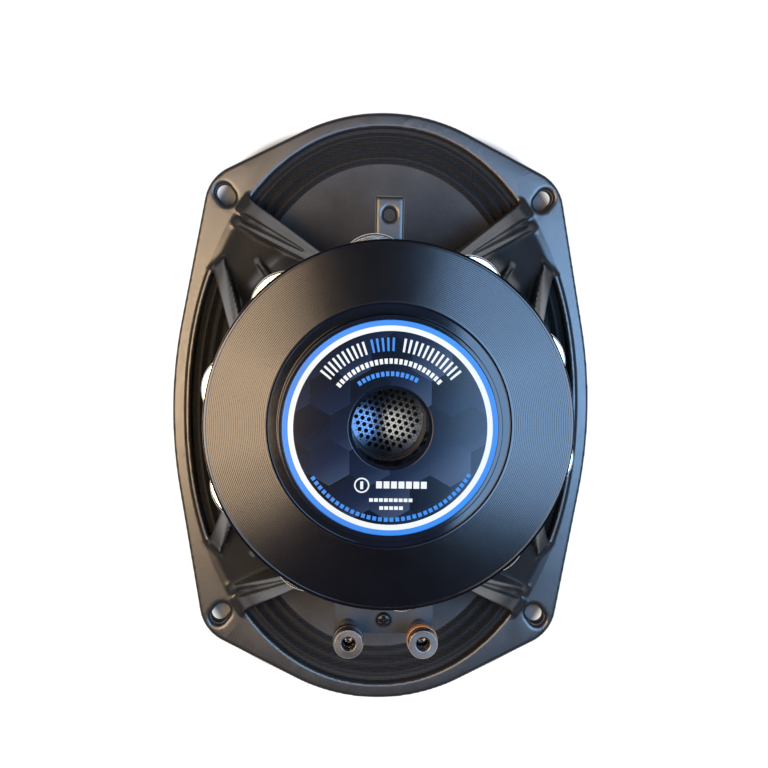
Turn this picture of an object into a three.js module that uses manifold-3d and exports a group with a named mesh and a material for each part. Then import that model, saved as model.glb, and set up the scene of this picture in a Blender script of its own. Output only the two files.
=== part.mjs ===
// A 6 x 9 inch midrange loudspeaker with a neodymium slug motor, lying face down.
// Millimetres. +Z runs from the front gasket to the motor, +Y along the long axis to the
// spare terminal tab, and the origin is the middle of the gasket's front face.
import * as THREE from "three";
import { mergeVertices } from "three/addons/utils/BufferGeometryUtils.js";
import Module from "manifold-3d";

const wasm = await Module();
wasm.setup();

// ---------------------------------------------------------------- driving sizes
const DEG = Math.PI / 180;

// flange outline: a long side arc, a rounded ear and an end arc, joined by tangent lines
const HALF_WIDTH = 82.5;
const HALF_LENGTH = 116.5;
const SIDE_RADIUS = 187;
const SIDE_ANGLE = 10.1 * DEG;
const EAR_RADIUS = 16.8;
const END_RADIUS = 72;
const END_ANGLE = 27.1 * DEG;

// cone edge oval, and the ovals that lie a distance outside it
const CONE_HALF_WIDTH = 61.6;
const CONE_HALF_LENGTH = 96.5;
const OVAL_POWER = 2.1;
const ROLLS_END = 13.5;
const OPENING_AT = 14;
const LIP_END = 16.5;

// heights
const FLANGE_FRONT = 5;
const FLANGE_BACK = 10;
const SURROUND_FRONT = 4.2;
const LANDING = 44;
const SEAT_FRONT = 52;
const SEAT_BACK = 58;
const SLUG_FRONT = 64;
const SLUG_BACK = 74;
const DISC_BACK = 82;
const BOSS_BACK = 90;

// motor radii
const VENT_RADIUS = 13.2;
const POLE_RADIUS = 24.2;
const FORMER_INNER = 25.4;
const FORMER_OUTER = 25.8;
const WINDING_OUTER = 27;
const GAP_OUTER = 28.2;
const DISC_RADIUS = 64.5;
const GROOVES_START = 42.6;
const BOSS_RADIUS = 38.4;
const LABEL_INNER = 14.4;
const LABEL_OUTER = 37;
const SLUG_RADIUS = 12.7;
const SLUG_RING = 54.2;
const SLUG_COUNT = 10;
const SLUG_FIRST_ANGLE = 24 * DEG;

// basket
const SEAT_INNER = 32;
const SEAT_OUTER = 61.5;
const LANDING_INNER = 56;
const SLOT = { x: 62.9, y: 83.1, radius: 3.2, stretch: 2.6 };
const TAB = { back: 55, thick: 4, width: 10.8, reach: 81, holeY: 74.2, holeRadius: 2.1 };
const MOTOR_SCREW_RING = 42;

// terminals
const BOARD_THICK = 2.4;
const BOARD_FRONT = TAB.back;
const BOARD_BACK = BOARD_FRONT + BOARD_THICK;
const POST = { x: 13, y: -76.5 };
const BODY_TOP = 69;
const WASHER_THICK = 0.7;
const RING_FRONT = 73;
const CAP_FRONT = 76;
const CAP_BACK = 80.5;
const SKIRT_FRONT = 65.5;
const PUSH_TRAVEL = 3;

const ROUND = 40;
const OVAL_ROUND = 48;

// ---------------------------------------------------------------- finishes
const finish = (color, roughness, metalness) =>
  new THREE.MeshStandardMaterial({ color, roughness, metalness });
const castPaint = finish(0x17181a, 0.42, 0.1);
const gasketFoam = finish(0x0c0c0c, 0.9, 0);
const pulp = finish(0x24262a, 0.8, 0);
const cloth = finish(0x15161a, 0.85, 0);
const capCloth = finish(0x111214, 0.6, 0);
const spiderCloth = finish(0xb98b3e, 0.9, 0);
const coatedSteel = finish(0x121316, 0.3, 0.4);
const zincSteel = finish(0x8d9095, 0.35, 0.9);
const nickel = finish(0xd6d3cc, 0.2, 1);
const printedLabel = finish(0x16233a, 0.4, 0);
const perforated = finish(0x4a4d52, 0.3, 0.8);
const screwBlack = finish(0x17181b, 0.35, 0.7);
const phenolic = finish(0x1a1c1f, 0.4, 0);
const chrome = finish(0xc9cacc, 0.12, 1);
const blackPlastic = finish(0x101012, 0.35, 0);
const amberPlastic = finish(0xa8703a, 0.4, 0);
const copper = finish(0xb56a3a, 0.35, 1);
const kapton = finish(0x2a1c10, 0.4, 0);
const tinsel = finish(0xa89f92, 0.5, 0.6);

// ---------------------------------------------------------------- helpers
const root = new THREE.Group();

function add(name, geometry, material, x = 0, y = 0, z = 0) {
  const mesh = new THREE.Mesh(geometry, material);
  mesh.name = name;
  mesh.position.set(x, y, z);
  root.add(mesh);
  return mesh;
}

// three.js geometry -> closed solid, for cutting and joining
function solid(geometry) {
  const bare = new THREE.BufferGeometry();
  bare.setAttribute("position", geometry.getAttribute("position"));
  if (geometry.index) bare.setIndex(geometry.index);
  const merged = mergeVertices(bare, 1e-4);
  const mesh = new wasm.Mesh({
    numProp: 3,
    vertProperties: new Float32Array(merged.attributes.position.array),
    triVerts: new Uint32Array(merged.index.array),
  });
  return new wasm.Manifold(mesh);
}

// closed solid -> three.js geometry
function geometryOf(body) {
  const mesh = body.getMesh();
  const geometry = new THREE.BufferGeometry();
  geometry.setAttribute("position", new THREE.BufferAttribute(mesh.vertProperties, 3));
  geometry.setIndex(new THREE.BufferAttribute(mesh.triVerts, 1));
  return geometry;
}

const joinAll = (bodies) => bodies.reduce((whole, body) => whole.add(body));
const cutAll = (body, tools) => tools.reduce((left, tool) => left.subtract(tool), body);

// twice the signed area of a closed profile, which says which way round it runs
function windingOf(points) {
  return points.reduce((sum, [x, y], i) => {
    const [nextX, nextY] = points[(i + 1) % points.length];
    return sum + x * nextY - nextX * y;
  }, 0);
}

// a closed [radius, height] profile turned about Z
function turned(profile, segments = ROUND) {
  const ordered = windingOf(profile) > 0 ? [...profile] : [...profile].reverse();
  ordered.push(ordered[0]);
  const points = ordered.map(([r, z]) => new THREE.Vector2(r, z));
  return new THREE.LatheGeometry(points, segments).rotateX(Math.PI / 2);
}

const tube = (inner, outer, front, back, segments = ROUND) =>
  turned([[inner, front], [outer, front], [outer, back], [inner, back]], segments);

const rod = (radius, front, back, segments = 24) =>
  new THREE.CylinderGeometry(radius, radius, back - front, segments)
    .rotateX(Math.PI / 2)
    .translate(0, 0, (front + back) / 2);

const plate = (shape, front, back, curveSegments = 7) =>
  new THREE.ExtrudeGeometry(shape, { depth: back - front, bevelEnabled: false, curveSegments })
    .translate(0, 0, front);

// distance from the middle to the oval that lies `outside` mm beyond the cone edge
function ovalRadius(angle, outside) {
  const x = Math.abs(Math.cos(angle)) / (CONE_HALF_WIDTH + outside);
  const y = Math.abs(Math.sin(angle)) / (CONE_HALF_LENGTH + outside);
  return (x ** OVAL_POWER + y ** OVAL_POWER) ** (-1 / OVAL_POWER);
}

// a closed profile swept round the axis, with radiusAt(angle, u) placing its first coordinate
function sweptRound(profile, radiusAt, segments = OVAL_ROUND) {
  const BASE = 10;
  const geometry = turned(profile.map(([u, z]) => [BASE + u, z]), segments);
  const position = geometry.getAttribute("position");
  for (let i = 0; i < position.count; i++) {
    const x = position.getX(i);
    const y = position.getY(i);
    const angle = Math.atan2(y, x);
    const radius = radiusAt(angle, Math.hypot(x, y) - BASE);
    position.setXY(i, radius * Math.cos(angle), radius * Math.sin(angle));
  }
  return geometry;
}

const ovalShape = (outside) => {
  const points = [];
  for (let i = 0; i < OVAL_ROUND; i++) {
    const angle = (i / OVAL_ROUND) * 2 * Math.PI;
    const radius = ovalRadius(angle, outside);
    points.push(new THREE.Vector2(radius * Math.cos(angle), radius * Math.sin(angle)));
  }
  return new THREE.Shape(points);
};

// the flange outline, drawn `inset` mm inside the real edge
function outlineShape(inset = 0) {
  const sideCentre = HALF_WIDTH - SIDE_RADIUS;
  const endCentre = HALF_LENGTH - END_RADIUS;
  const sideLine = Math.cos(SIDE_ANGLE) * sideCentre + SIDE_RADIUS - EAR_RADIUS;
  const endLine = Math.cos(END_ANGLE) * endCentre + END_RADIUS - EAR_RADIUS;
  const turn = Math.cos(SIDE_ANGLE) * Math.cos(END_ANGLE) - Math.sin(SIDE_ANGLE) * Math.sin(END_ANGLE);
  const earX = (sideLine * Math.cos(END_ANGLE) - endLine * Math.sin(SIDE_ANGLE)) / turn;
  const earY = (endLine * Math.cos(SIDE_ANGLE) - sideLine * Math.sin(END_ANGLE)) / turn;
  const side = SIDE_ANGLE;
  const end = Math.PI / 2 - END_ANGLE;
  const half = Math.PI;
  const shape = new THREE.Shape();
  shape.absarc(sideCentre, 0, SIDE_RADIUS - inset, -side, side, false);
  shape.absarc(earX, earY, EAR_RADIUS - inset, side, end, false);
  shape.absarc(0, endCentre, END_RADIUS - inset, end, half - end, false);
  shape.absarc(-earX, earY, EAR_RADIUS - inset, half - end, half - side, false);
  shape.absarc(-sideCentre, 0, SIDE_RADIUS - inset, half - side, half + side, false);
  shape.absarc(-earX, -earY, EAR_RADIUS - inset, half + side, half + end, false);
  shape.absarc(0, -endCentre, END_RADIUS - inset, half + end, 2 * half - end, false);
  shape.absarc(earX, -earY, EAR_RADIUS - inset, -end, -side, false);
  return shape;
}

const CORNERS = [[1, 1], [-1, 1], [-1, -1], [1, -1]];

// a slot at each ear, its long axis pointing to the middle
function slotCutters(radius, stretch, front, back) {
  return CORNERS.map(([sx, sy]) => {
    const shape = new THREE.Shape();
    shape.absarc(stretch / 2, 0, radius, -Math.PI / 2, Math.PI / 2, false);
    shape.absarc(-stretch / 2, 0, radius, Math.PI / 2, 1.5 * Math.PI, false);
    const slot = plate(shape, front, back, 6);
    slot.rotateZ(Math.atan2(sy * SLOT.y, sx * SLOT.x)).translate(sx * SLOT.x, sy * SLOT.y, 0);
    return solid(slot);
  });
}

// a plan polygon as a tall prism, drawn for the +X +Y corner and mirrored to [sx, sy]
function prism(points, front, back, [sx, sy] = [1, 1]) {
  const placed = points.map(([x, y]) => new THREE.Vector2(x * sx, y * sy));
  if (THREE.ShapeUtils.area(placed) < 0) placed.reverse();
  return solid(plate(new THREE.Shape(placed), front, back));
}

// ---------------------------------------------------------------- basket
// each arm is a shell that runs in from the opening (u = 1) and turns up to the seat (u = 0)
const SHELL_BACK = [
  [1.03, 9], [0.97, 11], [0.85, 13.4], [0.6, 16.6],
  [0.3, 19.1], [0.12, 21.6], [0.05, 28], [0.03, SEAT_BACK],
];
// its front face stays clear of the cone at the end of the cone's travel
const SHELL_FRONT = [
  [-0.06, SEAT_BACK], [-0.03, 23], [0.05, 20.4], [0.16, 18.4],
  [0.3, 16.5], [0.6, 13.3], [0.85, 9.9], [0.96, 8],
];
// the ribs stand on the shell, and their tops run straight from the opening to the seat
const RIB_BACK = [[1.03, 9], [0.99, 13], [0.62, 29], [0.28, 41.5], [-0.02, SEAT_BACK]];
// plan outlines of the ribs on one arm
const WINDOW_RIB = [[53.6, 82.2], [19.6, 56.6], [21.2, 55.2], [56.4, 78.6]];
const CHANNEL_RIB = [[57.4, 73.4], [22.6, 55.8], [23.4, 54.4], [58.2, 71.8]];
const SIDE_RIB = [[68.2, 52.4], [55.4, 24], [53.6, 25.4], [63.2, 55.6]];
const MIDDLE_RIB = [[39.2, 45.6], [48.4, 56.4], [49.8, 55.2], [40.6, 44.4]];
const END_WINDOW = [
  [-53.4, 82], [-19.4, 56.5], [-18, 53], [18, 53], [19.4, 56.5], [53.4, 82], [53.4, 130], [-53.4, 130],
];
const SIDE_WINDOW = [
  [67.4, 53], [55.5, 23.9], [51, 22], [51, -22], [55.5, -23.9], [67.4, -53], [100, -53], [100, 53],
];
// nothing of the arms comes nearer the axis than this, so the spider stays free
const ARM_INNER = 60.4;

function armRadius(angle, u) {
  return THREE.MathUtils.lerp(SEAT_OUTER, ovalRadius(angle, OPENING_AT), u);
}

function makeBasket() {
  const shell = solid(sweptRound([...SHELL_BACK, ...SHELL_FRONT], armRadius));
  const ribZone = solid(sweptRound([...RIB_BACK, ...SHELL_FRONT], armRadius));
  const windows = [
    prism(END_WINDOW, 0, 70),
    prism(END_WINDOW, 0, 70, [1, -1]),
    prism(SIDE_WINDOW, 0, 70),
    prism(SIDE_WINDOW, 0, 70, [-1, 1]),
  ];
  const ribs = CORNERS.flatMap((corner) =>
    [WINDOW_RIB, CHANNEL_RIB, SIDE_RIB, MIDDLE_RIB].map((outline) =>
      prism(outline, 8, SEAT_BACK, corner).intersect(ribZone)));
  const spiderSpace = solid(rod(ARM_INNER, 0, SEAT_BACK, OVAL_ROUND));
  const arms = joinAll([cutAll(shell, windows), ...ribs]).subtract(spiderSpace);

  const flangeShape = outlineShape();
  flangeShape.holes.push(ovalShape(OPENING_AT));
  const flange = cutAll(
    solid(plate(flangeShape, FLANGE_FRONT, FLANGE_BACK)),
    slotCutters(SLOT.radius, SLOT.stretch, 0, 20),
  );
  const lip = solid(sweptRound(
    [[OPENING_AT, 9], [OPENING_AT + 2, 9], [OPENING_AT + 2, 10.6], [OPENING_AT + 0.6, 11], [OPENING_AT, 11]],
    ovalRadius,
  ));

  const seat = solid(turned([
    [SEAT_INNER, SEAT_FRONT], [LANDING_INNER, SEAT_FRONT], [LANDING_INNER, LANDING],
    [SEAT_OUTER, LANDING], [SEAT_OUTER, SEAT_BACK], [SEAT_INNER, SEAT_BACK],
  ], 56));
  const tabs = [1, -1].map((side) =>
    prism([
      [-TAB.width / 2, 58], [TAB.width / 2, 58], [TAB.width / 2, TAB.reach], [-TAB.width / 2, TAB.reach],
    ], TAB.back - TAB.thick, TAB.back, [1, side]));
  const holes = [1, -1].map((side) =>
    solid(rod(TAB.holeRadius, 40, 60, 16).translate(0, side * TAB.holeY, 0)));
  const screwHoles = motorScrewPlaces().map(([x, y]) =>
    solid(rod(2.6, 40, 70, 12).translate(x, y, 0)));
  return cutAll(joinAll([flange, lip, arms, seat, ...tabs]), [...holes, ...screwHoles]);
}

function motorScrewPlaces() {
  return [45, 135, 225, 315].map((angle) => [
    MOTOR_SCREW_RING * Math.cos(angle * DEG),
    MOTOR_SCREW_RING * Math.sin(angle * DEG),
  ]);
}

add("basket", geometryOf(makeBasket()), castPaint);

// the gasket covers the flange's front, with a rebate for the surround's outer lip
function makeGasket() {
  const shape = outlineShape(0.8);
  shape.holes.push(ovalShape(ROLLS_END + 0.2));
  const rebate = solid(plate(ovalShape(LIP_END + 0.3), SURROUND_FRONT, FLANGE_FRONT + 1));
  const holes = slotCutters(SLOT.radius, SLOT.stretch, -1, 10);
  return cutAll(solid(plate(shape, 0, FLANGE_FRONT)), [rebate, ...holes]);
}

add("front_gasket", geometryOf(makeGasket()), gasketFoam);

// ---------------------------------------------------------------- motor
function makeTopPlate() {
  const blank = solid(tube(GAP_OUTER, DISC_RADIUS, SEAT_BACK, SLUG_FRONT, 56));
  const holes = motorScrewPlaces().map(([x, y]) => solid(rod(2.6, 50, 70, 12).translate(x, y, 0)));
  return cutAll(blank, holes);
}

add("top_plate", geometryOf(makeTopPlate()), zincSteel);

for (let i = 0; i < SLUG_COUNT; i++) {
  const angle = SLUG_FIRST_ANGLE + (i / SLUG_COUNT) * 2 * Math.PI;
  const name = `magnet_slug_${String(i + 1).padStart(2, "0")}`;
  const slug = rod(SLUG_RADIUS, SLUG_FRONT, SLUG_BACK, 28);
  add(name, slug, nickel, SLUG_RING * Math.cos(angle), SLUG_RING * Math.sin(angle));
}

const LABEL_FRONT = BOSS_BACK - 0.4;
add("back_plate", turned([
  [VENT_RADIUS, SLUG_BACK], [DISC_RADIUS, SLUG_BACK], [DISC_RADIUS, DISC_BACK - 0.6],
  [DISC_RADIUS - 0.6, DISC_BACK], [GROOVES_START, DISC_BACK], [GROOVES_START - 0.5, DISC_BACK - 0.5],
  [BOSS_RADIUS + 1, DISC_BACK - 0.5], [BOSS_RADIUS, BOSS_BACK - 1], [BOSS_RADIUS - 0.8, BOSS_BACK],
  [LABEL_OUTER + 0.1, BOSS_BACK], [LABEL_OUTER + 0.1, LABEL_FRONT], [LABEL_INNER - 0.1, LABEL_FRONT],
  [LABEL_INNER - 0.1, BOSS_BACK], [VENT_RADIUS + 0.5, BOSS_BACK], [VENT_RADIUS, BOSS_BACK - 0.5],
], 56), coatedSteel);

add("rear_label", tube(LABEL_INNER, LABEL_OUTER, LABEL_FRONT, BOSS_BACK), printedLabel);

const POLE_FRONT = 54;
const SCREEN_SHOULDER = 55.2;
const SCREEN_RADIUS = 13.9;
add("pole_piece", turned([
  [SCREEN_RADIUS + 0.1, POLE_FRONT], [POLE_RADIUS - 0.6, POLE_FRONT], [POLE_RADIUS, POLE_FRONT + 0.6],
  [POLE_RADIUS, SLUG_BACK], [VENT_RADIUS, SLUG_BACK], [VENT_RADIUS, SCREEN_SHOULDER],
  [SCREEN_RADIUS + 0.1, SCREEN_SHOULDER],
]), coatedSteel);

// the vent screen is a disc with a hexagonal pattern of holes
const SCREEN_PITCH = 2.9;
const SCREEN_HOLE = 0.95;
function circlePoints(x, y, radius, count) {
  return Array.from({ length: count }, (_, i) => {
    const angle = (i / count) * 2 * Math.PI;
    return new THREE.Vector2(x + radius * Math.cos(angle), y + radius * Math.sin(angle));
  });
}

function makeVentScreen() {
  const shape = new THREE.Shape(circlePoints(0, 0, SCREEN_RADIUS, 36));
  const rowStep = SCREEN_PITCH * Math.sqrt(0.75);
  for (let row = -4; row <= 4; row++) {
    for (let column = -5; column <= 5; column++) {
      const x = (column + (row % 2 ? 0.5 : 0)) * SCREEN_PITCH;
      const y = row * rowStep;
      if (Math.hypot(x, y) > SCREEN_RADIUS - 2) continue;
      shape.holes.push(new THREE.Path(circlePoints(x, y, SCREEN_HOLE, 6)));
    }
  }
  return plate(shape, SCREEN_SHOULDER - 0.8, SCREEN_SHOULDER);
}
add("vent_screen", makeVentScreen(), perforated);

motorScrewPlaces().forEach(([x, y], i) => {
  const head = solid(rod(4.2, SEAT_FRONT - 3, SEAT_FRONT, 20));
  const shank = solid(rod(2.3, SEAT_FRONT - 1, SLUG_FRONT - 1.5, 16));
  const socket = solid(rod(2, SEAT_FRONT - 5, SEAT_FRONT - 1.2, 6));
  add(`motor_screw_${i + 1}`, geometryOf(head.add(shank).subtract(socket)), zincSteel, x, y);
});

// ---------------------------------------------------------------- moving assembly
const NECK_RADIUS = 26.1;
const coneRadius = (angle, u) => THREE.MathUtils.lerp(NECK_RADIUS, ovalRadius(angle, 0), u);
const CONE_BACK = [[0.02, 42], [0.022, 37.4], [0.25, 26.4], [0.55, 15.5], [0.84, 7.8], [0.95, 5.8], [1, 5.8]];
const CONE_FRONT = [[1, 5], [0.94, 5], [0.83, 7], [0.54, 14.6], [0.24, 25.5], [0, 36.2], [0, 42]];
add("cone", sweptRound([...CONE_BACK, ...CONE_FRONT], coneRadius), pulp);

// a dome glued to the front of the cone over the coil
const CAP_RADIUS = 29;
const CAP_EDGE = 31.2;
const CAP_HEIGHT = 11;
function domeProfile(thickness, steps = 5) {
  const points = [];
  for (let i = 0; i <= steps; i++) {
    const share = i / steps;
    points.push([CAP_RADIUS * share, CAP_EDGE - CAP_HEIGHT * (1 - share ** 2) + thickness]);
  }
  return points;
}
add("dust_cap", turned([...domeProfile(0).reverse(), ...domeProfile(0.8)], 32), capCloth);

add("coil_former", tube(FORMER_INNER, FORMER_OUTER, 36.5, 68), kapton);
add("voice_coil", tube(FORMER_OUTER, WINDING_OUTER, 54, 68), copper);

// ---------------------------------------------------------------- suspension
// three rolls of treated cloth between the flange and the cone
const ROLL_COUNT = 3;
const CLOTH_THICK = 0.8;
function rollPoints(offset) {
  const points = [[-3, SURROUND_FRONT + offset], [0.4, SURROUND_FRONT + offset]];
  const step = (ROLLS_END - 1 - 0.4) / (2 * ROLL_COUNT);
  for (let i = 0; i < 2 * ROLL_COUNT; i++) {
    const side = i % 2 ? -1.8 : 1.8;
    points.push([0.4 + (i + 0.5) * step, SURROUND_FRONT + side + offset]);
  }
  points.push([ROLLS_END - 1, SURROUND_FRONT + offset], [LIP_END, SURROUND_FRONT + offset]);
  return points;
}
add("surround", sweptRound([...rollPoints(0), ...rollPoints(CLOTH_THICK).reverse()], ovalRadius), cloth);

// a corrugated disc that centres the coil, glued to the landing and to the former
const SPIDER_OUTER = 59.6;
const SPIDER_ROLLS = 4;
function spiderPoints(offset) {
  const level = LANDING - 0.8 + offset;
  const points = [[NECK_RADIUS, level], [29, level]];
  const step = (LANDING_INNER - 1.5 - 29) / (2 * SPIDER_ROLLS);
  for (let i = 0; i < 2 * SPIDER_ROLLS; i++) {
    points.push([29 + (i + 0.5) * step, level + (i % 2 ? -1.2 : 1.2)]);
  }
  points.push([LANDING_INNER - 1.5, level], [SPIDER_OUTER, level]);
  return points;
}
add("spider", turned([...spiderPoints(0), ...spiderPoints(0.8).reverse()], 32), spiderCloth);

// ---------------------------------------------------------------- terminals
function makeBoard() {
  const shape = new THREE.Shape();
  shape.moveTo(17.9, -67.5);
  shape.lineTo(17.9, -77);
  shape.lineTo(15, -78.4);
  shape.lineTo(-15, -78.4);
  shape.lineTo(-17.9, -77);
  shape.lineTo(-17.9, -67.5);
  shape.closePath();
  const holes = [-POST.x, POST.x].map((x) => solid(rod(2.1, 40, 60, 16).translate(x, POST.y, 0)));
  const middle = solid(rod(2.1, 40, 60, 16).translate(0, -TAB.holeY, 0));
  return cutAll(solid(plate(shape, BOARD_FRONT, BOARD_BACK)), [...holes, middle]);
}
add("terminal_board", geometryOf(makeBoard()), phenolic);

function makeTerminalScrew() {
  const head = solid(turned([
    [0, BOARD_BACK], [2.8, BOARD_BACK], [2.8, BOARD_BACK + 1.2],
    [1.8, BOARD_BACK + 2.1], [0, BOARD_BACK + 2.1],
  ], 24));
  const shank = solid(rod(1.8, BOARD_FRONT - 7, BOARD_BACK + 1, 16));
  const cross = [[3, 0.7], [0.7, 3]].map(([wide, deep]) =>
    solid(new THREE.BoxGeometry(wide, deep, 2).translate(0, 0, BOARD_BACK + 2.1)));
  return cutAll(head.add(shank), cross);
}
add("terminal_screw", geometryOf(makeTerminalScrew()), screwBlack, 0, -TAB.holeY);

const STEM_RADIUS = 1.9;
// a wire passes through here once the cap is pressed in and its own hole lines up
const WIRE_HOLE = BODY_TOP - 1.5;
const crossHole = (radius, z) =>
  solid(new THREE.CylinderGeometry(radius, radius, 20, 10).rotateZ(Math.PI / 2).translate(0, 0, z));

function addTerminal(side, x, ringFinish) {
  const y = POST.y;
  const stem = solid(rod(STEM_RADIUS, 47, 73, 16)).subtract(crossHole(0.9, WIRE_HOLE));
  add(`terminal_stem_${side}`, geometryOf(stem), chrome, x, y);
  const body = solid(turned([
    [2.1, BOARD_BACK], [3.6, BOARD_BACK], [3.6, 61], [3.9, 62], [3.9, BODY_TOP],
    [3.3, BODY_TOP], [3.3, BOARD_BACK + 2], [2.1, BOARD_BACK + 2],
  ], 24)).subtract(crossHole(0.9, WIRE_HOLE));
  add(`terminal_body_${side}`, geometryOf(body), blackPlastic, x, y);
  add(`terminal_washer_${side}`, tube(3.3, 4.6, BODY_TOP, BODY_TOP + WASHER_THICK, 24), chrome, x, y);
  add(`terminal_spring_${side}`, tube(2.2, 3, BOARD_BACK + 2, SKIRT_FRONT, 16), zincSteel, x, y);
  const cap = solid(turned([
    [2.2, SKIRT_FRONT], [3, SKIRT_FRONT], [3, CAP_FRONT], [5.2, CAP_FRONT],
    [5.2, CAP_BACK - 0.5], [4.8, CAP_BACK], [2.7, CAP_BACK], [2.2, CAP_BACK - 0.6],
  ], 24)).subtract(crossHole(0.9, WIRE_HOLE + PUSH_TRAVEL));
  add(`terminal_cap_${side}`, geometryOf(cap), chrome, x, y);
  add(`terminal_ring_${side}`, tube(3.2, 5.1, RING_FRONT, CAP_FRONT, 24), ringFinish, x, y);

  const nutFront = BOARD_FRONT - 2.6;
  const nut = solid(rod(4, nutFront, BOARD_FRONT, 6)).subtract(solid(rod(2.1, 40, 60, 16)));
  add(`terminal_nut_${side}`, geometryOf(nut), zincSteel, x, y);
  const lugShape = new THREE.Shape();
  lugShape.absarc(0, 0, 3.8, Math.PI * 0.75, Math.PI * 0.25, false);
  lugShape.lineTo(1.8, 9.5);
  lugShape.lineTo(-1.8, 9.5);
  lugShape.closePath();
  const lug = solid(plate(lugShape, nutFront - 0.8, nutFront, 8)).subtract(solid(rod(2.1, 40, 60, 16)));
  add(`solder_lug_${side}`, geometryOf(lug), zincSteel, x, y);
}
addTerminal("left", -POST.x, blackPlastic);
addTerminal("right", POST.x, amberPlastic);

// braided leads from the solder lugs to the back of the cone
const LEAD_RADIUS = 0.8;
const LEAD_ROUTE = [
  [13, -68.4, 50.6], [13, -68.6, 46], [12.6, -66.2, 41], [11.8, -60, 38],
  [10.9, -53.6, 35.6], [10.2, -48.8, 31.8], [10, -46.6, 26.6],
];
function addLead(side, sign) {
  const route = new THREE.CatmullRomCurve3(
    LEAD_ROUTE.map(([x, y, z]) => new THREE.Vector3(x * sign, y, z)),
  );
  const section = new THREE.Shape();
  section.absarc(0, 0, LEAD_RADIUS, 0, 2 * Math.PI, false);
  const braid = new THREE.ExtrudeGeometry(section, { extrudePath: route, steps: 12, curveSegments: 4 });
  add(`tinsel_lead_${side}`, braid, tinsel);
}
addLead("left", -1);
addLead("right", 1);

export default root;
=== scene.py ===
"""Looks for an oval car loudspeaker driver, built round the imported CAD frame. Lengths in mm."""

import math

import bpy
import numpy as np
import openvdb
from mathutils import Matrix, Vector


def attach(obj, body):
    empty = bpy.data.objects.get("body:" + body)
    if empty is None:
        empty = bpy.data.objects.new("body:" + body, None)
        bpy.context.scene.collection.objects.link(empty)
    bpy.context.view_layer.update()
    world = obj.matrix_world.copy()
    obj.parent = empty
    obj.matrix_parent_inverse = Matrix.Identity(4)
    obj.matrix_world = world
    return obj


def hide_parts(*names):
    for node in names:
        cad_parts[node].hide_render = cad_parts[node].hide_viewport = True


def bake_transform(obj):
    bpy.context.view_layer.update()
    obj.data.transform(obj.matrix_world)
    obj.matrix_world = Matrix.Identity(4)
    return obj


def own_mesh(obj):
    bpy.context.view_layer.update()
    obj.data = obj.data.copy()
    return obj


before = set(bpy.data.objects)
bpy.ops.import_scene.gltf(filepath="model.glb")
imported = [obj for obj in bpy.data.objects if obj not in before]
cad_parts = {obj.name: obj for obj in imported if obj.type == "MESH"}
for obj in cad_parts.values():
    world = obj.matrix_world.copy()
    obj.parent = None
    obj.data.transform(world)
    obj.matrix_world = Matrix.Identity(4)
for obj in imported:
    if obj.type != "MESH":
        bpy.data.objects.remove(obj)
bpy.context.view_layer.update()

MM = 0.001
SEGMENTS = 192

# sizes that the pieces share with the CAD, in mm
HALF_WIDTH, SIDE_RADIUS, SIDE_ANGLE = 82.5, 187.0, math.radians(10.1)
HALF_LENGTH, END_RADIUS, END_ANGLE = 116.5, 72.0, math.radians(27.1)
EAR_RADIUS = 16.8
CONE_HALF = (61.6, 96.5)
OVAL_POWER = 2.1
OPENING_AT = 14.0
SEAT_OUTER = 61.5
NECK_RADIUS = 26.1
FLANGE = (5.0, 10.0)
DISC = (74.0, 82.0)
BOSS_TOP = 90.0
DISC_RADIUS, GROOVES_START, BOSS_RADIUS = 64.5, 42.6, 38.4
VENT_RADIUS = 13.2
LABEL = (14.4, 36.8)
POLE_RADIUS, POLE_FRONT = 24.2, 54.0
SCREEN_BACK, SCREEN_RADIUS = 55.2, 13.9
SLUG_RADIUS, SLUG_RING = 12.7, 54.2
SLUG_COUNT, SLUG_START = 10, 24
PLATE = (58, 64)
GAP_OUTER = 28.2
TAB_BACK, BOARD_BACK = 55.0, 57.4
POST = (13.0, -76.5)


# ---- mesh helpers
def mesh_object(name, points, faces, smooth_angle=35.0):
    """A piece from points in mm, shaded smooth except over edges sharper than smooth_angle."""
    mesh = bpy.data.meshes.new(name)
    mesh.from_pydata((np.asarray(points, float) * MM).tolist(), [], faces)
    mesh.validate()
    mesh.polygons.foreach_set("use_smooth", [True] * len(mesh.polygons))
    if smooth_angle is not None:
        mesh.set_sharp_from_angle(angle=math.radians(smooth_angle))
    mesh.update()
    obj = bpy.data.objects.new(name, mesh)
    bpy.context.scene.collection.objects.link(obj)
    return obj


def place(obj, body, slot, material, *nodes):
    """The piece rides on a body, takes a material, and stands for CAD nodes."""
    if not obj.data.materials:
        obj.data.materials.append(material)
    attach(obj, body)
    if nodes:
        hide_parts(*nodes)
    return obj


def grid_faces(rows, columns, close_rows=False):
    """Quads between rows of points, each row a closed ring."""
    faces = []
    for i in range(rows if close_rows else rows - 1):
        i2 = (i + 1) % rows
        for j in range(columns):
            j2 = (j + 1) % columns
            faces.append((i * columns + j, i * columns + j2, i2 * columns + j2, i2 * columns + j))
    return faces


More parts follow.
